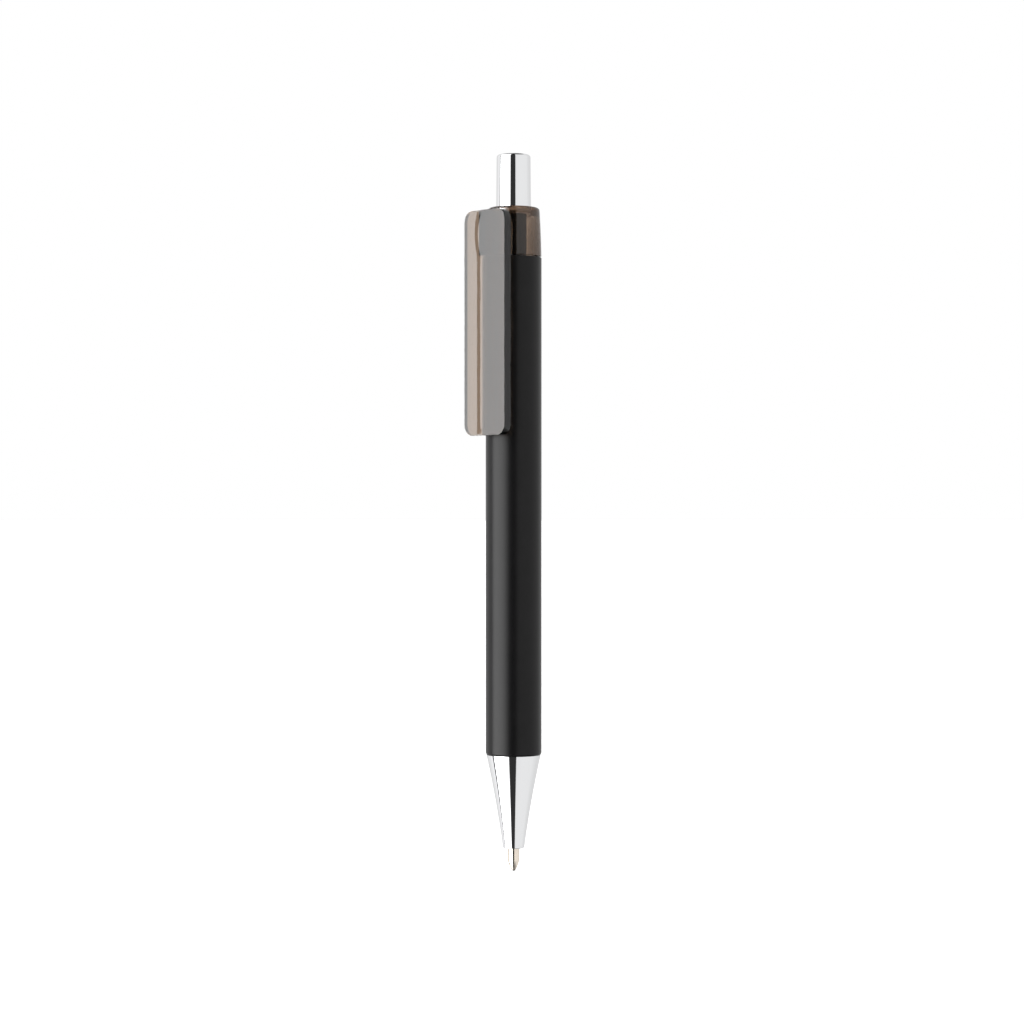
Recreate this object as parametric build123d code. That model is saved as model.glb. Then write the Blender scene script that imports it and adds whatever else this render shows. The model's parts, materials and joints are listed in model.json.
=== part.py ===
from build123d import *
import os
from math import hypot, radians, sin

# A retractable push-button ballpoint pen, with its tip out, in millimetres.
# It stands upright on its tip: the origin is the lowest point of the writing ball, +Z runs
# up the pen's axis to the push button, and the pocket clip faces -Y.
# "Front" is the writing end and "rear" is the button end.

# ---- Driving dimensions ----------------------------------------------------------------

# Outside of the pen: radii about the axis, and heights above the writing point
pen_length = 141.0
barrel_r = 5.5
cone_front_z = 4.55
cone_front_r = 2.09
cone_rear_r = 5.38
cone_hollow = 0.2  # how far the cone's side curves in from a straight taper
barrel_front_z = 22.9
barrel_rear_z = 120.8
collar_front_r = 5.48
collar_rear_r = 5.09
collar_rear_z = 130.5
collar_land = 1.9  # height of the bore that guides the button
collar_crown = 0.06  # how far the collar's side curves out from a straight taper
collar_round = 0.6
collar_spigot_wall = 0.5
barrel_front_round = 0.45
barrel_rear_round = 0.2

# Push button, its travel, and the travel of the refill as the tip goes in
button_front_r = 3.45
button_rear_r = 3.35
button_front_z = 129.0
button_wall = 0.75
button_top = 0.8
button_round = 0.6
button_travel = 6.8
retract_travel = 5.6
rotor_turn = 60.0

# Pocket clip
clip_width = 11.6
clip_thickness = 1.72
clip_inner_y = -6.16
clip_front_z = 85.6
clip_rear_z = 129.6
clip_corner_r = 2.15
clip_edge_round = 0.12
bridge_half_width = 2.4
bridge_root = 0.25  # how far outside the collar's wide bore the bridge starts

# Refill: the international G2 format, 98.1 mm long and 5.9 mm across
refill_length = 98.1
refill_r = 2.95
refill_bore_r = 2.45
refill_shoulder_z = 27.0
refill_shoulder_length = 2.0
refill_nose_spigot = 5.0
neck_r = 2.0
neck_front_r = 1.55
neck_front_z = 8.9
neck_step_z = 13.2
ink_channel_r = 0.9
ink_rear_z = 82.0
follower_length = 3.0
plug_head = 2.5
plug_spigot = 5.0
vent_r = 0.5

# Writing tip and the ball held in it
ball_r = 0.4
ball_proud = 0.26  # how far the ball stands out of the tip
tip_r = 1.15
lip_r = 0.45
taper_rear_z = 2.2
taper_bow = 0.06
tip_stem_r = 0.8
tip_stem_length = 3.6
tip_channel_r = 0.5
tip_channel_front_z = 3.0
ball_channel_r = 0.25
channel_step = 0.25
socket_gap = 0.015

# Fits
running_gap = 0.1  # between a piece that moves and its guide
fixed_gap = 0.05  # between pieces that slip together and stay
ink_gap = 0.02
refill_bore_gap = 0.35
spring_bore_gap = 0.15
barrel_bore_r = 4.6
cone_spigot = 8.0
lead_in = 0.3
bore_step = 0.45  # height of the slopes between bores of two sizes
small_round = 0.15
spring_wire_r = 0.2
spring_end_gap = 0.02
spring_mean_r = 2.45
spring_turns = 8
spring_seat_z = 14.5

# Click mechanism, between the refill and the button
sleeve_front_z = 99.0
sleeve_step_z = 116.4
sleeve_step = 0.5
sleeve_bore_r = 3.45
rib_r = 3.05  # the refill's rear end and the rotor's foot pass between the ribs
rib_width = 1.25
rib_front_z = 102.4
rib_rear_z = 119.6
rib_count = 3
rotor_rear_z = 104.5
rotor_core_r = 2.4
rotor_foot = 1.55
fin_gap = 0.45
plunger_r = 2.55
plunger_bore_r = 1.5
plunger_web = 1.5
crown_gap = 0.2
crown_tooth = 0.8
lug_half_angle = 40.0
lug_length = 2.4

# ---- Worked out from the driving dimensions ------------------------------------------

# The crown clears the rotor with the button pressed home and the refill drawn in
crown_z = rotor_rear_z + retract_travel + button_travel + crown_gap
# A bevel as steep as the rotor's path at the ribs' inner edge, so that its fins slide clear
bevel_slope = retract_travel / radians(rotor_turn) / rib_r
bevel_height = bevel_slope * rib_width
shoulder_rear_z = refill_shoulder_z + refill_shoulder_length
nose_rear_z = shoulder_rear_z + refill_nose_spigot
plug_front_z = refill_length - plug_head
tip_stem_rear_z = neck_front_z + tip_stem_length
collar_bore_r = button_front_r + running_gap
plunger_head_r = button_front_r - button_wall
spigot_r = barrel_bore_r - fixed_gap
refill_spigot_r = refill_bore_r - ink_gap
button_inner_z = pen_length - button_top
socket_r = ball_r + socket_gap
lip_z = ball_proud


# ---- Helpers ---------------------------------------------------------------------------


def turned(*corners):
    """Revolve an outline of (radius, height) or (radius, height, rounding) corners."""
    points = [corner[:2] for corner in corners]
    rounding = [corner[2] if len(corner) > 2 else 0 for corner in corners]
    outline = FilletPolyline(*points, radius=rounding, close=True)
    return revolve(Plane.XZ * make_face(outline), Axis.Z)


def turned_edges(*edges):
    """Revolve a closed outline made of lines and arcs drawn as (radius, height)."""
    return revolve(Plane.XZ * make_face(edges), Axis.Z)


def bowed(start, end, sagitta):
    """An arc up from start to end, bowed outwards, or inwards if sagitta is negative."""
    (r0, z0), (r1, z1) = start, end
    run = hypot(r1 - r0, z1 - z0)
    middle_r = (r0 + r1) / 2 + sagitta * (z1 - z0) / run
    middle_z = (z0 + z1) / 2 - sagitta * (r1 - r0) / run
    return ThreePointArc(start, (middle_r, middle_z), end)


def rim(shape, radius, height):
    """The circular edge of a turned piece at a radius and a height."""
    circles = shape.edges().filter_by(GeomType.CIRCLE)
    return [
        edge
        for edge in circles
        if abs(edge.radius - radius) < 1e-3 and abs(edge.arc_center.Z - height) < 1e-3
    ]


def rod(radius, low, high):
    """A plain round bar on the axis."""
    return turned((0, low), (radius, low), (radius, high), (0, high))


def spread(shape, count, first_angle=0.0):
    """Copies of a shape, evenly spaced about the axis."""
    return [Rot(0, 0, first_angle + i * 360 / count) * shape for i in range(count)]


def radial_bar(side_view, inner_r, outer_r):
    """Extrude a (tangent, height) outline outwards along +X, between two radii."""
    plane = Plane((inner_r, 0, 0), x_dir=(0, 1, 0), z_dir=(1, 0, 0))
    outline = Polyline(*side_view, close=True)
    return extrude(plane * make_face(outline), amount=outer_r - inner_r)


# ---- Outer pieces ----------------------------------------------------------------------


def barrel_tube():
    """The straight barrel, open at both ends, with softened end edges."""
    return turned(
        (barrel_bore_r, barrel_front_z),
        (barrel_r, barrel_front_z, barrel_front_round),
        (barrel_r, barrel_rear_z, barrel_rear_round),
        (barrel_bore_r, barrel_rear_z),
    )


def nose_cone():
    """The front cone. Its rear spigot screws into the barrel, and it seats the spring."""
    spigot_rear_z = barrel_front_z + cone_spigot
    spring_bore_r = spring_mean_r + spring_wire_r + spring_bore_gap
    refill_bore = refill_r + refill_bore_gap
    # the shoulder draws back from here, so the wide bore starts ahead of it
    wide_bore_z = refill_shoulder_z - retract_travel
    neck_bore_r = neck_r + small_round
    front_bore_r = neck_front_r + small_round
    front_bore_rear_z = neck_step_z - running_gap
    tip_bore_rear_z = neck_front_z - 0.9
    tip_bore_r = tip_r + running_gap
    side = bowed((cone_front_r, cone_front_z), (cone_rear_r, barrel_front_z), -cone_hollow)
    inside = Polyline(
        (cone_rear_r, barrel_front_z),
        (spigot_r, barrel_front_z),
        (spigot_r, spigot_rear_z - lead_in),
        (spigot_r - lead_in, spigot_rear_z),
        (refill_bore, spigot_rear_z),
        (refill_bore, wide_bore_z),
        (spring_bore_r, wide_bore_z - bore_step),
        (spring_bore_r, spring_seat_z),
        (neck_bore_r, spring_seat_z),
        (neck_bore_r, front_bore_rear_z),
        (front_bore_r, front_bore_rear_z - bore_step),
        (front_bore_r, tip_bore_rear_z + bore_step),
        (tip_bore_r, tip_bore_rear_z),
        (tip_bore_r, cone_front_z),
        (cone_front_r, cone_front_z),
    )
    cone = turned_edges(side, inside)
    return fillet(rim(cone, cone_front_r, cone_front_z), small_round)


def collar():
    """The rear collar that guides the button, with the bridge that carries the clip."""
    spigot_bore_r = barrel_bore_r - collar_spigot_wall
    land_z = collar_rear_z - collar_land
    side = bowed((collar_front_r, barrel_rear_z), (collar_rear_r, collar_rear_z), collar_crown)
    rest = Polyline(
        (collar_rear_r, collar_rear_z),
        (collar_bore_r, collar_rear_z),
        (collar_bore_r, land_z),
        (spigot_bore_r, land_z),
        (spigot_bore_r, sleeve_step_z),
        (barrel_bore_r, sleeve_step_z),
        (barrel_bore_r, barrel_rear_z),
        (collar_front_r, barrel_rear_z),
    )
    ring = turned_edges(side, rest)
    ring = fillet(rim(ring, collar_rear_r, collar_rear_z), collar_round)
    inner_y = -spigot_bore_r - bridge_root
    depth = inner_y - clip_inner_y
    height = clip_rear_z - barrel_rear_z
    bridge = Box(2 * bridge_half_width, depth, height)
    bridge = Pos(0, clip_inner_y + depth / 2, barrel_rear_z + height / 2) * bridge
    return ring + bridge


def clip():
    """The flat pocket clip, with rounded corners and a softened outer edge."""
    length = clip_rear_z - clip_front_z
    front = Plane((0, clip_inner_y, 0), x_dir=(1, 0, 0), z_dir=(0, -1, 0))
    outline = Pos(0, clip_front_z + length / 2) * RectangleRounded(
        clip_width, length, clip_corner_r
    )
    plate = extrude(front * outline, amount=clip_thickness)
    return fillet(plate.faces().sort_by(Axis.Y)[0].edges(), clip_edge_round)


# ---- Click mechanism -------------------------------------------------------------------


def button_cap():
    """The hollow push button."""
    bore_r = plunger_head_r
    return turned(
        (bore_r, button_front_z),
        (button_front_r, button_front_z, small_round),
        (button_rear_r, pen_length, button_round),
        (0, pen_length),
        (0, button_inner_z),
        (bore_r, button_inner_z),
    )


def plunger():
    """The button's stem: guide lugs run in the sleeve's slots above a toothed crown."""
    head_rear_z = button_inner_z - 0.2
    bore_rear_z = button_front_z - plunger_web
    stem = turned(
        (plunger_bore_r, crown_z),
        (plunger_r, crown_z),
        (plunger_r, button_front_z),
        (plunger_head_r, button_front_z),
        (plunger_head_r, head_rear_z, lead_in),
        (0, head_rear_z),
        (0, bore_rear_z),
        (plunger_bore_r, bore_rear_z),
    )
    tooth_half = plunger_r * sin(radians(60)) / 2
    notch = radial_bar(
        [(-tooth_half, crown_z), (tooth_half, crown_z), (0, crown_z + crown_tooth)],
        plunger_bore_r - 1,
        plunger_r + 1,
    )
    lug_front_z = crown_z + crown_tooth + crown_gap
    lug_r = sleeve_bore_r - running_gap
    lug_section = make_face(
        [
            Line((0, 0), (lug_r, 0)),
            CenterArc((0, 0), lug_r, 0, 2 * lug_half_angle),
            PolarLine((0, 0), lug_r, 2 * lug_half_angle),
        ]
    )
    lug = extrude(Pos(0, 0, lug_front_z) * lug_section, amount=lug_length)
    stem_middle_r = (plunger_r + plunger_bore_r) / 2
    lug = lug - rod(stem_middle_r, lug_front_z - 1, lug_front_z + lug_length + 1)
    slot_centre = 180 / rib_count
    lugs = spread(lug, rib_count, slot_centre - lug_half_angle)
    return stem - spread(notch, 2 * rib_count) + lugs


def bevelled_side(half_width, bevelled_z, plain_z):
    """A side view from a bevelled end, lower at one edge, to a plain end."""
    return [
        (-half_width, plain_z),
        (-half_width, bevelled_z),
        (half_width, bevelled_z + bevel_height),
        (half_width, plain_z),
    ]


def cam_sleeve():
    """The slotted sleeve: the bevelled front ends of its ribs index and latch the rotor."""
    rear_r = spigot_r - sleeve_step
    shell = turned(
        (sleeve_bore_r, sleeve_front_z),
        (spigot_r, sleeve_front_z, lead_in),
        (spigot_r, sleeve_step_z),
        (rear_r, sleeve_step_z),
        (rear_r, barrel_rear_z),
        (sleeve_bore_r, barrel_rear_z),
    )
    shell_middle_r = (sleeve_bore_r + rear_r) / 2
    bar = radial_bar(bevelled_side(rib_width / 2, rib_front_z, rib_rear_z), 0, shell_middle_r)
    bar = bar - rod(rib_r, rib_front_z - 1, rib_rear_z + 1)
    return shell + spread(bar, rib_count)


def cam_rotor():
    """The rotating cam: three bevel-topped fins on a core that bears on the refill."""
    foot_z = refill_length + fixed_gap
    fin_front_z = foot_z + rotor_foot
    core = turned(
        (0, foot_z),
        (refill_r, foot_z, small_round),
        (refill_r, fin_front_z, small_round),
        (rotor_core_r, fin_front_z),
        (rotor_core_r, rotor_rear_z, lead_in),
        (0, rotor_rear_z),
    )
    fin_r = sleeve_bore_r - running_gap
    side_view = bevelled_side(rib_width / 2, rib_front_z - fin_gap, fin_front_z)
    bar = radial_bar(side_view, rotor_core_r / 2, fin_r + 1)
    bar = bar & rod(fin_r, fin_front_z - 1, rotor_rear_z)
    return core + spread(bar, rib_count)


def return_spring():
    """The compression spring between the nose cone and the refill's shoulder."""
    low = spring_seat_z + spring_wire_r + spring_end_gap
    high = refill_shoulder_z - spring_wire_r - spring_end_gap
    path = Helix(
        pitch=(high - low) / spring_turns,
        height=high - low,
        radius=spring_mean_r,
        center=(0, 0, low),
    )
    start = Plane(path @ 0, z_dir=path % 0)
    return sweep(start * Circle(spring_wire_r), path=path, is_frenet=True)


# ---- Refill ----------------------------------------------------------------------------


def socket_height(radius):
    """Height, above the ball's centre, at which the ball socket has a radius."""
    return (socket_r**2 - radius**2) ** 0.5


def writing_tip():
    """The metal point that holds the ball behind a rolled lip."""
    lip_inner_r = (socket_r**2 - (ball_r - lip_z) ** 2) ** 0.5
    ball_seat_z = ball_r + socket_height(ball_channel_r)
    socket = ThreePointArc(
        (ball_channel_r, ball_seat_z), (socket_r, ball_r), (lip_inner_r, lip_z)
    )
    side = bowed((lip_r, lip_z), (tip_r, taper_rear_z), taper_bow)
    rest = Polyline(
        (tip_r, taper_rear_z),
        (tip_r, neck_front_z),
        (tip_stem_r, neck_front_z),
        (tip_stem_r, tip_stem_rear_z),
        (tip_channel_r, tip_stem_rear_z),
        (tip_channel_r, tip_channel_front_z),
        (ball_channel_r, tip_channel_front_z - channel_step),
        (ball_channel_r, ball_seat_z),
    )
    return turned_edges(Line((lip_inner_r, lip_z), (lip_r, lip_z)), side, rest, socket)


def writing_ball():
    """The ball that rolls the ink onto the paper."""
    return Pos(0, 0, ball_r) * Sphere(ball_r)


def refill_nose():
    """The stepped adapter that holds the tip and takes the spring on its shoulder."""
    return turned(
        (tip_stem_r, neck_front_z),
        (neck_front_r, neck_front_z, small_round),
        (neck_front_r, neck_step_z),
        (neck_r, neck_step_z + bore_step),
        (neck_r, refill_shoulder_z),
        (refill_r, refill_shoulder_z, small_round),
        (refill_r, shoulder_rear_z),
        (refill_spigot_r, shoulder_rear_z),
        (refill_spigot_r, nose_rear_z),
        (ink_channel_r, nose_rear_z),
        (ink_channel_r, tip_stem_rear_z),
        (tip_stem_r, tip_stem_rear_z),
    )


def refill_tube():
    """The ink tube."""
    return turned(
        (refill_bore_r, shoulder_rear_z),
        (refill_r, shoulder_rear_z),
        (refill_r, plug_front_z),
        (refill_bore_r, plug_front_z),
    )


def refill_rear_plug():
    """The vented and notched plug in the refill's rear end."""
    spigot_front_z = plug_front_z - plug_spigot
    plug = turned(
        (vent_r, spigot_front_z),
        (refill_spigot_r, spigot_front_z, lead_in),
        (refill_spigot_r, plug_front_z),
        (refill_r, plug_front_z),
        (refill_r, refill_length, small_round),
        (vent_r, refill_length),
    )
    notch = Pos(refill_r, 0, refill_length) * Box(2.0, 0.9, 1.2)
    return plug - spread(notch, 6)


def ink_column():
    """The paste ink, from the ball's channel up to the follower."""
    front_z = ball_r + socket_height(ball_channel_r) + ink_gap
    return turned(
        (0, front_z),
        (ball_channel_r, front_z),
        (ball_channel_r, tip_channel_front_z - channel_step),
        (tip_channel_r, tip_channel_front_z),
        (tip_channel_r, tip_stem_rear_z),
        (ink_channel_r, tip_stem_rear_z),
        (ink_channel_r, nose_rear_z),
        (refill_bore_r, nose_rear_z),
        (refill_bore_r, ink_rear_z),
        (0, ink_rear_z),
    )


def ink_follower():
    """The clear grease that follows the ink down and keeps it from drying."""
    return rod(refill_bore_r, ink_rear_z, ink_rear_z + follower_length)


# ---- One file per piece ----------------------------------------------------------------

pieces = [
    barrel_tube,
    nose_cone,
    collar,
    clip,
    button_cap,
    plunger,
    cam_sleeve,
    cam_rotor,
    return_spring,
    writing_tip,
    writing_ball,
    refill_nose,
    refill_tube,
    refill_rear_plug,
    ink_column,
    ink_follower,
]

os.makedirs("parts", exist_ok=True)
for piece in pieces:
    export_step(piece(), f"parts/{piece.__name__}.step")
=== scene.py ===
import json
from math import atan2, ceil, cos, degrees, pi, radians, sin, tan

import bmesh
import bpy
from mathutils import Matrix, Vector


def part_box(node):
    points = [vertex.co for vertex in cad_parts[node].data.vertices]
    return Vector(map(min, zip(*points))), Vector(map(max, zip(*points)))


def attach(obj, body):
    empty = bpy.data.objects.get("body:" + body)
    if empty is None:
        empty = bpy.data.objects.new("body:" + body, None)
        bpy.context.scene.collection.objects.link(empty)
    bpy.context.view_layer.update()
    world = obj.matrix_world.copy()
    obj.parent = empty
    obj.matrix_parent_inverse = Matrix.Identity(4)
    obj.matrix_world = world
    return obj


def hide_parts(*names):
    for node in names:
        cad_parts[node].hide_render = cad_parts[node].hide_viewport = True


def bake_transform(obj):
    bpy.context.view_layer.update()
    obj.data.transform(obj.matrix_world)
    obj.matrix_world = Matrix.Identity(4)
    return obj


# A retractable ballpoint pen, standing on its tip. Lengths here are millimetres in the
# frame's own axes, and MM turns them into Blender's metres when a mesh is made.
# Outlines of turned pieces are (radius, height) or (radius, height, rounding).

MM = 0.001
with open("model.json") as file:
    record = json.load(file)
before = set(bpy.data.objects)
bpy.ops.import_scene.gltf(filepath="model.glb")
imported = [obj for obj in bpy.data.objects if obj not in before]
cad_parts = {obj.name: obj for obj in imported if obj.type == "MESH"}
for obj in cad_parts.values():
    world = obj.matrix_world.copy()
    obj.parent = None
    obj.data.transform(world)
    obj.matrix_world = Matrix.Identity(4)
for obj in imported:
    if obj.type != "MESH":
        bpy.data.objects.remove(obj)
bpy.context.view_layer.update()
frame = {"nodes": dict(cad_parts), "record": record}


def box_mm(node):
    """A CAD node's lowest and highest corners, in millimetres."""
    low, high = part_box(node)
    return Vector(low) / MM, Vector(high) / MM


barrel_low, barrel_high = box_mm("barrel_tube")
cone_low, cone_high = box_mm("nose_cone")
collar_low, collar_high = box_mm("collar")
clip_low, clip_high = box_mm("clip")
button_low, button_high = box_mm("button_cap")
tip_low, tip_high = box_mm("writing_tip")
ball_low, ball_high = box_mm("writing_ball")
spring_low, spring_high = box_mm("return_spring")
shoulder_z = box_mm("refill_nose")[0].z

BARREL_WALL = 0.9
SPIGOT_WALL = 0.5
BUTTON_CLEARANCE = 0.1
BARREL_R = barrel_high.x
BARREL_BORE_R = BARREL_R - BARREL_WALL
BUTTON_R = button_high.x
COLLAR_BORE_R = BUTTON_R + BUTTON_CLEARANCE
COLLAR_SPIGOT_BORE_R = BARREL_BORE_R - SPIGOT_WALL

# The barrel's ends, where it meets the nose and the collar, and the groove at the collar.
SEAM_FRONT = barrel_low.z
SEAM_REAR = barrel_high.z
SEAM_GAP = 0.18

# How far the panel on the clip stands out from the plate round it.
PANEL_RISE = 0.04

# ---- Meshes ------------------------------------------------------------------------------

SEGMENTS = 256
ARC_STEP_DEGREES = 9
CREASE_DEGREES = 32
# a point with a smaller radius than this is on the axis
AXIS_R = 1e-6


def arc_points(corner, before, after, rounding):
    """Points along the arc that rounds a corner between its two neighbours."""
    to_before = (before - corner).normalized()
    to_after = (after - corner).normalized()
    half = to_before.angle(to_after) / 2
    reach = rounding / tan(half)
    start = corner + to_before * reach
    end = corner + to_after * reach
    centre = corner + (to_before + to_after).normalized() * (rounding / sin(half))
    steps = max(3, ceil(degrees(pi - 2 * half) / ARC_STEP_DEGREES))
    first = start - centre
    last = end - centre
    turn = first.angle_signed(last)
    points = []
    for i in range(steps + 1):
        angle = -turn * i / steps
        x = first.x * cos(angle) - first.y * sin(angle)
        y = first.x * sin(angle) + first.y * cos(angle)
        points.append(centre + Vector((x, y)))
    return points


def rounded_outline(corners):
    """The points of a closed outline with its marked corners rounded."""
    count = len(corners)
    spots = [Vector(c[:2]) for c in corners]
    points = []
    for i, corner in enumerate(corners):
        if len(corner) > 2:
            points += arc_points(spots[i], spots[i - 1], spots[(i + 1) % count], corner[2])
        else:
            points.append(spots[i])
    return points


def bowed(start, end, sagitta, steps=24):
    """Corners along an arc from start up to end, bowed outwards by sagitta at its middle."""
    run = Vector(end) - Vector(start)
    side = Vector((run.y, -run.x)).normalized()
    points = []
    for i in range(1, steps):
        share = i / steps
        point = Vector(start) + run * share + side * (sagitta * 4 * share * (1 - share))
        points.append(tuple(point))
    return points


def new_piece(name, mesh):
    """A smooth-shaded object from a mesh, creased where its faces meet at an angle."""
    mesh.polygons.foreach_set("use_smooth", [True] * len(mesh.polygons))
    mesh.set_sharp_from_angle(angle=radians(CREASE_DEGREES))
    mesh.update()
    piece = bpy.data.objects.new(name, mesh)
    bpy.context.scene.collection.objects.link(piece)
    return piece


def solid_piece(name, mesh):
    """A smooth-shaded object from a closed bmesh, which it frees."""
    bmesh.ops.recalc_face_normals(mesh, faces=mesh.faces)
    data = bpy.data.meshes.new(name)
    mesh.to_mesh(data)
    mesh.free()
    return new_piece(name, data)


def lathe(name, corners, segments=SEGMENTS):
    """A turned piece: a closed outline spun about the pen's axis."""
    points = rounded_outline(corners)
    mesh = bmesh.new()
    rings = []
    for point in points:
        if point.x < AXIS_R:
            rings.append([mesh.verts.new((0, 0, point.y * MM))])
            continue
        ring = []
        for i in range(segments):
            angle = 2 * pi * i / segments
            spot = (point.x * cos(angle) * MM, point.x * sin(angle) * MM, point.y * MM)
            ring.append(mesh.verts.new(spot))
        rings.append(ring)
    for lower, upper in zip(rings, rings[1:] + rings[:1]):
        if len(lower) == 1 and len(upper) == 1:
            continue
        for i in range(segments):
            k = (i + 1) % segments
            low_side = [lower[i % len(lower)], lower[k % len(lower)]]
            high_side = [upper[k % len(upper)], upper[i % len(upper)]]
            mesh.faces.new(dict.fromkeys(low_side + high_side))
    return solid_piece(name, mesh)


def lofted(name, loops):
    """A closed solid through loops of equal length, capped by a flat face at each end."""
    mesh = bmesh.new()
    rings = [[mesh.verts.new(Vector(p) * MM) for p in loop] for loop in loops]
    for lower, upper in zip(rings, rings[1:]):
        count = len(lower)
        for i in range(count):
            k = (i + 1) % count
            mesh.faces.new((lower[i], lower[k], upper[k], upper[i]))
    mesh.faces.new(reversed(rings[0]))
    mesh.faces.new(rings[-1])
    return solid_piece(name, mesh)


def united(name, base, *others):
    """One mesh from several overlapping solids, with no walls left inside it."""
    for other in others:
        modifier = base.modifiers.new("union", "BOOLEAN")
        modifier.operation = "UNION"
        modifier.solver = "EXACT"
        modifier.object = other
    graph = bpy.context.evaluated_depsgraph_get()
    data = bpy.data.meshes.new_from_object(base.evaluated_get(graph))
    data.name = name
    for piece in (base, *others):
        bpy.data.objects.remove(piece)
    return data


# ---- Materials ---------------------------------------------------------------------------


SOCKETS = {
    "colour": "Base Color",
    "metallic": "Metallic",
    "roughness": "Roughness",
    "ior": "IOR",
    "transmission": "Transmission Weight",
}

# most of a noise's values lie between these
NOISE_LOW = 0.3
NOISE_HIGH = 0.7


def banded(nodes, links, value, start, end, first, last):
    """A value that runs from first to last as another runs from start to end."""
    node = nodes.new("ShaderNodeMapRange")
    node.inputs["From Min"].default_value = start
    node.inputs["From Max"].default_value = end
    node.inputs["To Min"].default_value = first
    node.inputs["To Max"].default_value = last
    links.new(value, node.inputs["Value"])
    return node.outputs["Result"]


class Surface:
    """A Principled material with short ways to add its procedural detail."""

    def __init__(self, name, **sockets):
        self.material = bpy.data.materials.new(name)
        self.material.use_nodes = True
        self.nodes = self.material.node_tree.nodes
        self.links = self.material.node_tree.links
        self.shader = self.nodes["Principled BSDF"]
        self.output = self.nodes["Material Output"]
        self.place = self.nodes.new("ShaderNodeTexCoord").outputs["Object"]
        for socket, value in sockets.items():
            self.shader.inputs[SOCKETS[socket]].default_value = value

    def node(self, kind, **inputs):
        """A new node, with some of its inputs' values set."""
        made = self.nodes.new(kind)
        for socket, value in inputs.items():
            made.inputs[socket].default_value = value
        return made

    def noise(self, scale_mm, detail=3.0, stretch=(1, 1, 1), rough=0.5):
        """Noise whose grains are about scale_mm across, stretched along the axes."""
        mapping = self.node("ShaderNodeMapping")
        mapping.inputs["Scale"].default_value = [s / (scale_mm * MM) for s in stretch]
        self.links.new(self.place, mapping.inputs["Vector"])
        noise = self.node("ShaderNodeTexNoise", Scale=1.0, Detail=detail, Roughness=rough)
        self.links.new(mapping.outputs[0], noise.inputs["Vector"])
        return noise.outputs["Fac"]

    def ranged(self, value, low, high, end=NOISE_HIGH):
        """A noise's values mapped to low..high."""
        return banded(self.nodes, self.links, value, NOISE_LOW, end, low, high)

    def mixed(self, value, first, second):
        """A colour between two, following a noise."""
        ramp = self.node("ShaderNodeValToRGB")
        ramp.color_ramp.elements[0].position = NOISE_LOW
        ramp.color_ramp.elements[0].color = (*first, 1)
        ramp.color_ramp.elements[1].position = NOISE_HIGH
        ramp.color_ramp.elements[1].color = (*second, 1)
        self.links.new(value, ramp.inputs["Fac"])
        return ramp.outputs["Color"]

    def feed(self, output, socket):
        """Link an output to one of the shader's sockets."""
        self.links.new(output, self.shader.inputs[socket])

    def bump(self, value, depth_mm):
        """Relief of a real depth."""
        bump = self.node("ShaderNodeBump", Strength=1.0, Distance=depth_mm * MM)
        self.links.new(value, bump.inputs["Height"])
        self.feed(bump.outputs["Normal"], "Normal")


def soft_touch_black():
    """A rubbery black lacquer with a fine grain."""
    s = Surface("soft_touch_black", colour=(0.003, 0.003, 0.0032, 1), ior=1.34)
    grain = s.noise(0.12, detail=4, rough=0.7)
    cloud = s.noise(4.0, detail=2)
    s.feed(s.mixed(cloud, (0.0025, 0.0023, 0.0026), (0.004, 0.0037, 0.0041)), "Base Color")
    s.feed(s.ranged(grain, 0.27, 0.36), "Roughness")
    s.bump(grain, 0.0018)
    return s.material


def polished_metal():
    """Chrome plating, with the faint pores and hairlines of a plated part."""
    s = Surface("polished_metal", colour=(0.93, 0.935, 0.945, 1), metallic=1.0)
    pores = s.noise(0.12, detail=2)
    hairlines = s.noise(0.5, detail=3, stretch=(1, 1, 0.04))
    s.feed(s.ranged(hairlines, 0.03, 0.075, 0.75), "Roughness")
    s.bump(pores, 0.001)
    return s.material


def smoke_plastic():
    """Clear smoke-tinted moulding: the tint is absorbed through its thickness."""
    s = Surface("smoke_plastic", colour=(1, 1, 1, 1), transmission=1.0, ior=1.55)
    flow = s.noise(2.6, detail=2, stretch=(1, 1, 0.12))
    haze = s.noise(0.6, detail=3)
    s.feed(s.ranged(haze, 0.0, 0.015), "Roughness")
    s.bump(flow, 0.0001)
    absorb = s.node("ShaderNodeVolumeAbsorption")
    absorb.inputs["Color"].default_value = (0.402, 0.265, 0.128, 1)
    absorb.inputs["Density"].default_value = 1150.0
    s.links.new(absorb.outputs[0], s.output.inputs["Volume"])
    return s.material


def plain_plastic(name, colour, shade, roughness=0.35):
    """A moulded plastic with a faint mottle and a fine moulded grain."""
    s = Surface(name, colour=(*colour, 1))
    grain = s.noise(0.2, detail=3)
    cloud = s.noise(3.0, detail=2)
    s.feed(s.mixed(cloud, colour, shade), "Base Color")
    s.feed(s.ranged(grain, roughness - 0.05, roughness + 0.06), "Roughness")
    s.bump(grain, 0.002)
    return s.material


def turned_metal(name, colour, roughness, ring_mm=0.05):
    """Metal from a lathe: fine rings round the axis."""
    s = Surface(name, colour=(*colour, 1), metallic=1.0)
    rings = s.noise(ring_mm, detail=2, stretch=(0.02, 0.02, 1))
    stain = s.noise(0.7, detail=2)
    warm = [c * 0.9 for c in colour]
    s.feed(s.mixed(stain, colour, warm), "Base Color")
    s.feed(s.ranged(rings, roughness * 0.7, roughness * 1.4), "Roughness")
    s.bump(rings, 0.0015)
    return s.material


def thick_liquid(name, colour, shade, transmission=0.0):
    """Ink or grease: smooth, wet and slightly streaked along its tube."""
    s = Surface(name, colour=(*colour, 1), transmission=transmission, roughness=0.15)
    streaks = s.noise(0.8, detail=3, stretch=(1, 1, 0.1))
    s.feed(s.mixed(streaks, colour, shade), "Base Color")
    return s.material


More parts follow.
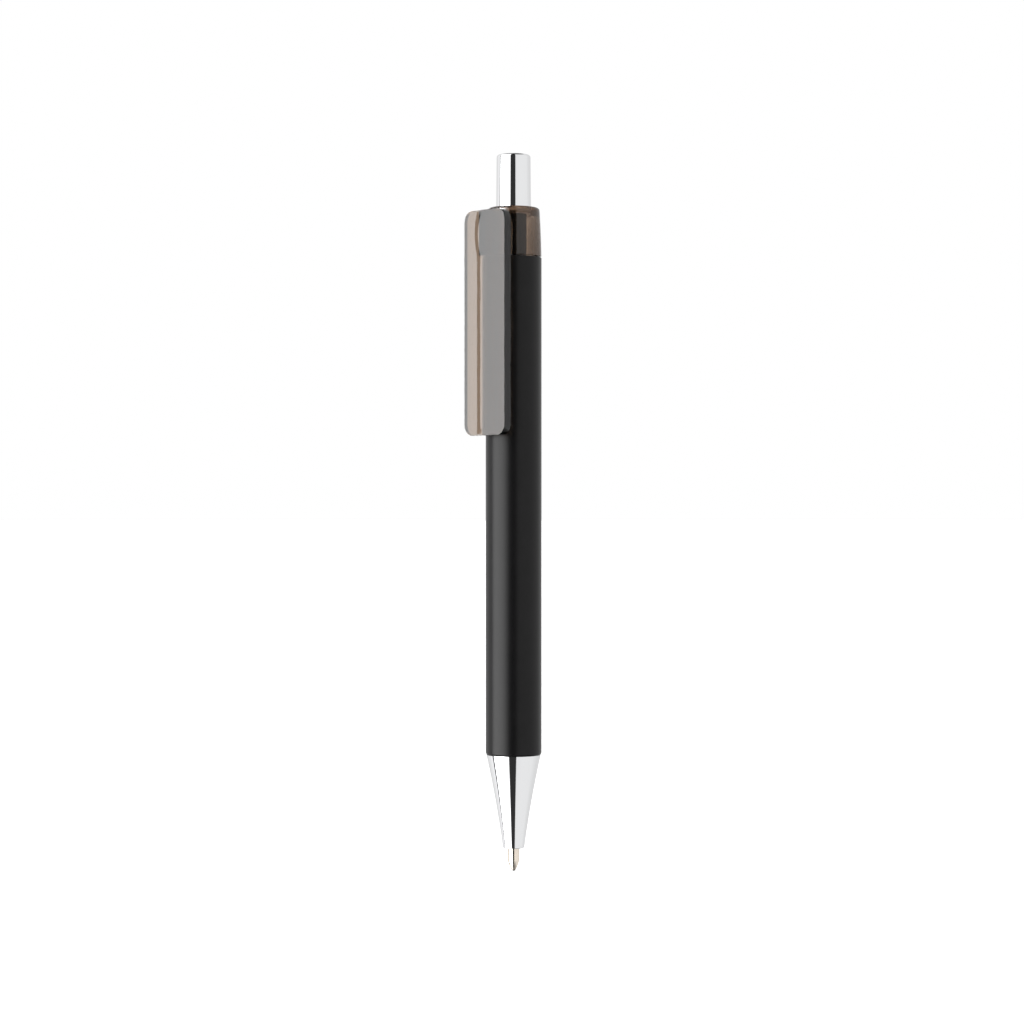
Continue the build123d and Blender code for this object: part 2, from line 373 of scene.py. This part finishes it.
def paint(piece, material):
    """Give a piece one material throughout."""
    piece.data.materials.clear()
    piece.data.materials.append(material)


MATERIALS = {
    "soft_touch_black": soft_touch_black(),
    "polished_metal": polished_metal(),
    "smoke_plastic": smoke_plastic(),
    "black_plastic": plain_plastic("black_plastic", (0.006, 0.006, 0.006), (0.01, 0.01, 0.01), 0.2),
    "white_plastic": plain_plastic("white_plastic", (0.8, 0.8, 0.77), (0.72, 0.72, 0.69)),
    "spring_steel": turned_metal("spring_steel", (0.6, 0.6, 0.62), 0.25, 0.1),
    "nickel_silver": turned_metal("nickel_silver", (1.0, 0.9, 0.78), 0.16),
    "carbide": turned_metal("carbide", (0.02, 0.018, 0.017), 0.3),
    "refill_plastic": plain_plastic("refill_plastic", (0.78, 0.78, 0.76), (0.7, 0.7, 0.68), 0.3),
    "ink": thick_liquid("ink", (0.008, 0.01, 0.05), (0.012, 0.015, 0.07)),
    "grease": thick_liquid("grease", (0.8, 0.72, 0.5), (0.7, 0.62, 0.42), 0.6),
}


def finish_piece(piece, body, slot, *nodes):
    """Paint a piece, hang it on its body and let it stand for CAD nodes."""
    paint(piece, MATERIALS[slot])
    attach(piece, body)
    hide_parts(*nodes)


# ---- The pen's own pieces ------------------------------------------------------------------


def make_barrel():
    """A plain tube with softened ends."""
    corners = [
        (BARREL_BORE_R, SEAM_FRONT, 0.1),
        (BARREL_R, SEAM_FRONT, 0.45),
        (BARREL_R, SEAM_REAR - SEAM_GAP / 2, 0.15),
        (BARREL_BORE_R, SEAM_REAR - SEAM_GAP / 2, 0.1),
    ]
    finish_piece(lathe("barrel", corners), "barrel", "soft_touch_black", "barrel_tube")


def make_nose():
    """The cone is slightly hollow in profile, and its bores step down to the tip."""
    front, front_r = cone_low.z, 2.09
    start, end = (front_r, front), (cone_high.x, SEAM_FRONT)
    hollow = 0.2
    spigot_r = BARREL_BORE_R - 0.05
    spigot_bore_r, spigot_bore_z = 3.3, 21.5
    spring_bore_r, spring_bore_z = 2.8, 21.0
    refill_bore_r, refill_bore_z = 2.15, 13.1
    point_bore_r, point_bore_z = 1.7, 12.65
    mouth_r, mouth_z, mouth_step_z = 1.25, front + 3.15, front + 3.6
    corners = [
        (front_r, front, 0.15),
        *bowed(start, end, -hollow),
        end,
        (spigot_r, SEAM_FRONT),
        (spigot_r, cone_high.z, 0.3),
        (spigot_bore_r, cone_high.z),
        (spigot_bore_r, spigot_bore_z),
        (spring_bore_r, spring_bore_z),
        (spring_bore_r, spring_low.z),
        (refill_bore_r, spring_low.z),
        (refill_bore_r, refill_bore_z),
        (point_bore_r, point_bore_z),
        (point_bore_r, mouth_step_z),
        (mouth_r, mouth_z),
        (mouth_r, front, 0.05),
    ]
    finish_piece(lathe("nose", corners), "barrel", "polished_metal", "nose_cone")


def make_button():
    """A hollow cap with a softly rounded rim."""
    wall, top = 0.75, 0.8
    rim_taper = 0.1
    bore_r = BUTTON_R - wall
    corners = [
        (bore_r, button_low.z),
        (BUTTON_R, button_low.z, 0.15),
        (BUTTON_R - rim_taper, button_high.z, 0.6),
        (0, button_high.z),
        (0, button_high.z - top),
        (bore_r, button_high.z - top),
    ]
    finish_piece(lathe("push_button", corners), "button", "polished_metal", "button_cap")


def make_tip():
    """The metal point, tapering to the rolled lip round the ball."""
    lip_z = tip_low.z
    lip_r, mouth_r = 0.45, 0.39
    body_r, taper_rear = 1.15, 2.2
    shank_r = 0.8
    ink_bore_r, ink_bore_z = 0.5, 3.0
    feed_r, feed_high, feed_low = 0.25, 2.75, 0.73
    socket = [(0.33, 0.65), (0.39, 0.53), (0.415, 0.4)]
    corners = [
        (mouth_r, lip_z),
        (lip_r, lip_z),
        *bowed((lip_r, lip_z), (body_r, taper_rear), 0.06, 12),
        (body_r, taper_rear),
        (body_r, shoulder_z),
        (shank_r, shoulder_z),
        (shank_r, tip_high.z),
        (ink_bore_r, tip_high.z),
        (ink_bore_r, ink_bore_z),
        (feed_r, feed_high),
        (feed_r, feed_low),
        *socket,
    ]
    finish_piece(lathe("ballpoint_tip", corners), "refill", "nickel_silver", "writing_tip")


def make_ball():
    """A sphere with a point on the axis at each pole."""
    radius = ball_high.x
    centre = (ball_low.z + ball_high.z) / 2
    steps = 32
    corners = []
    for i in range(steps + 1):
        angle = pi * i / steps - pi / 2
        corners.append((max(0.0, radius * cos(angle)), centre + radius * sin(angle)))
    corners[0] = (0, ball_low.z)
    corners[-1] = (0, ball_high.z)
    finish_piece(lathe("ball", corners, 64), "ball", "carbide", "writing_ball")


def make_spring():
    """A coil of round wire that stretches between its seat and the refill's shoulder."""
    wire_r = 0.2
    turns = 8
    steps = 40 * turns
    sides = 12
    coil_r = spring_high.x - wire_r
    low = spring_low.z + wire_r
    high = spring_high.z - wire_r
    rise = (high - low) / turns / (2 * pi)
    slope = atan2(rise, coil_r)
    loops = []
    for i in range(steps + 1):
        angle = 2 * pi * turns * i / steps
        height = low + (high - low) * i / steps
        centre = Vector((coil_r * cos(angle), coil_r * sin(angle), height))
        outwards = Vector((cos(angle), sin(angle), 0))
        along = Vector((-sin(angle) * cos(slope), cos(angle) * cos(slope), sin(slope)))
        across = outwards.cross(along)
        loop = []
        for k in range(sides):
            turn = 2 * pi * k / sides
            loop.append(centre + (outwards * cos(turn) + across * sin(turn)) * wire_r)
        loops.append(loop)
    spring = lofted("spring_coil", loops)
    paint(spring, MATERIALS["spring_steel"])
    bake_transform(spring)
    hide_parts("return_spring")


def rounded_rectangle(half_width, low, high, corner_r, steps=14):
    """(x, z) points of a rounded rectangle about x = 0."""
    points = []
    centres = [
        (half_width - corner_r, low + corner_r, -90),
        (half_width - corner_r, high - corner_r, 0),
        (corner_r - half_width, high - corner_r, 90),
        (corner_r - half_width, low + corner_r, 180),
    ]
    for x, z, first in centres:
        for i in range(steps + 1):
            angle = radians(first + 90 * i / steps)
            points.append((x + corner_r * cos(angle), z + corner_r * sin(angle)))
    return points


def edge_levels(face_y, inwards, rounding, steps=6):
    """(y, inset) pairs round a broken edge, from the plate's side to its flat face."""
    levels = []
    for i in range(steps + 1):
        angle = radians(90 * i / steps)
        y = face_y + inwards * rounding * (1 - sin(angle))
        levels.append((y, rounding * (1 - cos(angle))))
    return levels


def clip_plate():
    """The clip's plate, with its edges just broken."""
    outer_round, inner_round = 0.07, 0.06
    corner_r = 2.15
    outer_levels = edge_levels(clip_low.y + PANEL_RISE, 1, outer_round)
    inner_levels = edge_levels(clip_high.y, -1, inner_round)
    loops = []
    for y, inset in outer_levels[::-1] + inner_levels:
        low, high = clip_low.z + inset, clip_high.z - inset
        outline = rounded_rectangle(clip_high.x - inset, low, high, corner_r - inset)
        loops.append([(x, y, z) for x, z in outline])
    return lofted("plate", loops)


def panel_outline(inset):
    """(x, z) points of the clip's raised panel: straight sides that bulge over the bridge."""
    half = 2.12 - inset
    margin = 0.25 + inset
    bulge, steps = 0.66, 24
    side = [(half, clip_low.z + margin)]
    for i in range(steps + 1):
        share = i / steps
        height = SEAM_REAR + (clip_high.z - margin - SEAM_REAR) * share
        side.append((half + bulge * 4 * share * (1 - share), height))
    return side + [(-x, z) for x, z in reversed(side)]


def raised_panel():
    """A barely raised panel down the middle of the clip's face, with softly sloped sides."""
    slope_width, steps = 1.03, 10
    root = 0.3
    base_y = clip_low.y + PANEL_RISE
    loops = [[(x, base_y + root, z) for x, z in panel_outline(0)]]
    for i in range(steps + 1):
        share = i / steps
        y = base_y - PANEL_RISE * share
        loops.append([(x, y, z) for x, z in panel_outline(slope_width * share)])
    return lofted("panel", loops)


def bridge_block():
    """The block between the clip and the collar, sunk into both."""
    half_width, corner_r = 2.4, 0.05
    sunk_in_clip = 0.3
    clear_of_bore = 0.25
    clear_of_barrel = 0.03
    clear_of_top = 0.05
    outer_y = clip_high.y - sunk_in_clip
    inner_y = -COLLAR_SPIGOT_BORE_R - clear_of_bore
    low, high = SEAM_REAR + clear_of_barrel, clip_high.z - clear_of_top
    outline = rounded_rectangle(half_width, low, high, corner_r, 3)
    return lofted("bridge", [[(x, y, z) for x, z in outline] for y in (outer_y, inner_y)])


def collar_ring():
    """The collar: a land at its top guides the button, and a spigot sits in the barrel."""
    rear_r, front_r = 5.09, collar_high.x
    spigot_r = BARREL_BORE_R - 0.02
    land_height = 1.9
    front = SEAM_REAR + SEAM_GAP / 2
    land = collar_high.z - land_height
    start, end = (front_r, front), (rear_r, collar_high.z)
    corners = [
        (*start, 0.08),
        *bowed(start, end, 0.06, 12),
        (*end, 0.6),
        (COLLAR_BORE_R, collar_high.z, 0.12),
        (COLLAR_BORE_R, land, 0.1),
        (COLLAR_SPIGOT_BORE_R, land),
        (COLLAR_SPIGOT_BORE_R, collar_low.z),
        (spigot_r, collar_low.z),
        (spigot_r, front),
    ]
    return lathe("ring", corners)


def cut_bend_loops(mesh):
    """Level cuts through the clip's plate, close enough for it to bend smoothly."""
    cuts = 40
    above_seam = 4
    low, high = 98.0, SEAM_REAR + above_seam
    # whatever lies further out than this belongs to the plate
    plate_y = clip_high.y + 0.1
    for i in range(cuts + 1):
        height = low + (high - low) * i / cuts
        faces = [f for f in mesh.faces if f.calc_center_median().y < plate_y * MM]
        edges = dict.fromkeys(e for f in faces for e in f.edges)
        verts = dict.fromkeys(v for f in faces for v in f.verts)
        bmesh.ops.bisect_plane(
            mesh,
            geom=list(verts) + list(edges) + faces,
            plane_co=(0, 0, height * MM),
            plane_no=(0, 0, 1),
            dist=1e-7,
        )


def make_collar_and_clip():
    """One moulding: collar, bridge and clip united into one mesh, with level cuts through the plate
    where the clip would bend away below the collar.
    """
    weld = 0.002
    data = united("collar_and_clip", collar_ring(), bridge_block(), clip_plate(), raised_panel())
    mesh = bmesh.new()
    mesh.from_mesh(data)
    bmesh.ops.remove_doubles(mesh, verts=mesh.verts, dist=weld * MM)
    cut_bend_loops(mesh)
    mesh.to_mesh(data)
    mesh.free()
    piece = new_piece("collar_and_clip", data)
    weighted = piece.modifiers.new("even_shading", "WEIGHTED_NORMAL")
    weighted.keep_sharp = True
    weighted.weight = 100
    paint(piece, MATERIALS["smoke_plastic"])
    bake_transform(piece)
    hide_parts("collar", "clip")


def paint_hidden_pieces():
    """Every CAD mesh gets its slot's finish, and those that nothing replaces keep it."""
    slots = {part["node"]: part["material_slot"] for part in frame["record"]["subparts"]}
    for node, piece in frame["nodes"].items():
        paint(piece, MATERIALS[slots[node]])


# ---- Studio --------------------------------------------------------------------------------

CAMERA_AZIMUTH = 47.0
CAMERA_DISTANCE = 500.0
VIEW_HEIGHT = 70.65
FRAME_WIDTH = 201.7
FRAME_SHIFT = -0.0016
SENSOR_WIDTH = 36

PEAK = 6.0
# Light round the pen: degrees from the camera's direction, positive to the camera's right,
# and the strength there.
LIGHT_AROUND = [
    (-180, 0.95),
    (-165, 0.72),
    (-150, 0.75),
    (-122, 0.88),
    (-106, 0.98),
    (-105, 0.05),
    (-97.3, 0.05),
    (-96.4, 1.0),
    (-95.6, 4.5),
    (-70, 5.8),
    (-45, 5.0),
    (-23, 1.3),
    (-20.5, 0.03),
    (11.5, 0.03),
    (13, 0.82),
    (40, 0.85),
    (95, 0.84),
    (120, 0.75),
    (140, 0.72),
    (162, 0.76),
    (170, 1.0),
    (180, 0.95),
]


def make_camera():
    """A level camera, turned round the pen's axis."""
    data = bpy.data.cameras.new("camera")
    camera = bpy.data.objects.new("camera", data)
    bpy.context.scene.collection.objects.link(camera)
    turn = radians(CAMERA_AZIMUTH)
    across, back = sin(turn) * CAMERA_DISTANCE, -cos(turn) * CAMERA_DISTANCE
    camera.location = Vector((across, back, VIEW_HEIGHT)) * MM
    camera.rotation_euler = (radians(90), 0, turn)
    data.sensor_width = SENSOR_WIDTH
    data.lens = SENSOR_WIDTH * CAMERA_DISTANCE / FRAME_WIDTH
    data.shift_x = FRAME_SHIFT
    bpy.context.scene.camera = camera


def make_floor():
    """A wide pale floor, bright enough to run into the white backdrop."""
    radius_m, glow = 20.0, 0.4
    mesh = bmesh.new()
    bmesh.ops.create_circle(mesh, cap_ends=True, radius=radius_m, segments=96)
    data = bpy.data.meshes.new("floor")
    mesh.to_mesh(data)
    mesh.free()
    floor = bpy.data.objects.new("floor", data)
    bpy.context.scene.collection.objects.link(floor)
    s = Surface("floor", colour=(0.9, 0.9, 0.9, 1), roughness=0.7)
    s.shader.inputs["Emission Color"].default_value = (1, 1, 1, 1)
    s.shader.inputs["Emission Strength"].default_value = glow
    paint(floor, s.material)
    # chrome mirrors the studio all round, not the floor
    floor.visible_glossy = False


def scaled(nodes, links, value, factor):
    """Two values multiplied."""
    node = nodes.new("ShaderNodeMath")
    node.operation = "MULTIPLY"
    links.new(value, node.inputs[0])
    links.new(factor, node.inputs[1])
    return node.outputs[0]


def light_around(nodes, links, direction):
    """The light's share of its peak, by the angle round the pen's axis."""
    angle = nodes.new("ShaderNodeMath")
    angle.operation = "ARCTAN2"
    links.new(direction["Y"], angle.inputs[0])
    links.new(direction["X"], angle.inputs[1])
    around = nodes.new("ShaderNodeValToRGB")
    links.new(banded(nodes, links, angle.outputs[0], -pi, pi, 0.0, 1.0), around.inputs["Fac"])
    ramp = around.color_ramp
    while len(ramp.elements) < len(LIGHT_AROUND):
        ramp.elements.new(0.5)
    for element, (where, level) in zip(ramp.elements, LIGHT_AROUND):
        element.position = (where + 180) / 360
        element.color = (level / PEAK, level / PEAK, level / PEAK, 1)
    return around.outputs["Color"]


def light_by_height(nodes, links, height):
    """The light's peak, dimmer overhead and underneath."""
    peak = nodes.new("ShaderNodeValue")
    peak.outputs[0].default_value = PEAK
    full, faded, overhead_share = sin(radians(48)), sin(radians(58)), 0.15
    overhead = banded(nodes, links, height, full, faded, 1.0, overhead_share)
    faded, full, underneath_share = -sin(radians(46)), -sin(radians(34)), 0.3
    underneath = banded(nodes, links, height, faded, full, underneath_share, 1.0)
    return scaled(nodes, links, scaled(nodes, links, peak.outputs[0], overhead), underneath)


def make_studio():
    """Studio light by direction round the pen: a big bright softbox on one side, a dimmer
    one on the other, and a dark gap between them, all with a white surround."""
    world = bpy.data.worlds.new("studio")
    bpy.context.scene.world = world
    world.use_nodes = True
    nodes, links = world.node_tree.nodes, world.node_tree.links
    nodes.clear()
    place = nodes.new("ShaderNodeTexCoord")
    spin = nodes.new("ShaderNodeVectorRotate")
    spin.rotation_type = "Z_AXIS"
    # turns the camera's direction to +X, from which LIGHT_AROUND's angles are counted
    spin.inputs["Angle"].default_value = -radians(CAMERA_AZIMUTH - 90)
    links.new(place.outputs["Generated"], spin.inputs["Vector"])
    split = nodes.new("ShaderNodeSeparateXYZ")
    links.new(spin.outputs["Vector"], split.inputs["Vector"])
    studio = nodes.new("ShaderNodeBackground")
    links.new(light_around(nodes, links, split.outputs), studio.inputs["Color"])
    links.new(light_by_height(nodes, links, split.outputs["Z"]), studio.inputs["Strength"])
    backdrop = nodes.new("ShaderNodeBackground")
    backdrop.inputs["Color"].default_value = (1, 1, 1, 1)
    path = nodes.new("ShaderNodeLightPath")
    choose = nodes.new("ShaderNodeMixShader")
    links.new(path.outputs["Is Camera Ray"], choose.inputs["Fac"])
    links.new(studio.outputs[0], choose.inputs[1])
    links.new(backdrop.outputs[0], choose.inputs[2])
    output = nodes.new("ShaderNodeOutputWorld")
    links.new(choose.outputs[0], output.inputs["Surface"])
    bpy.context.scene.view_settings.view_transform = "Standard"


make_camera()
make_floor()
make_studio()
paint_hidden_pieces()
make_barrel()
make_nose()
make_button()
make_tip()
make_ball()
make_spring()
make_collar_and_clip()
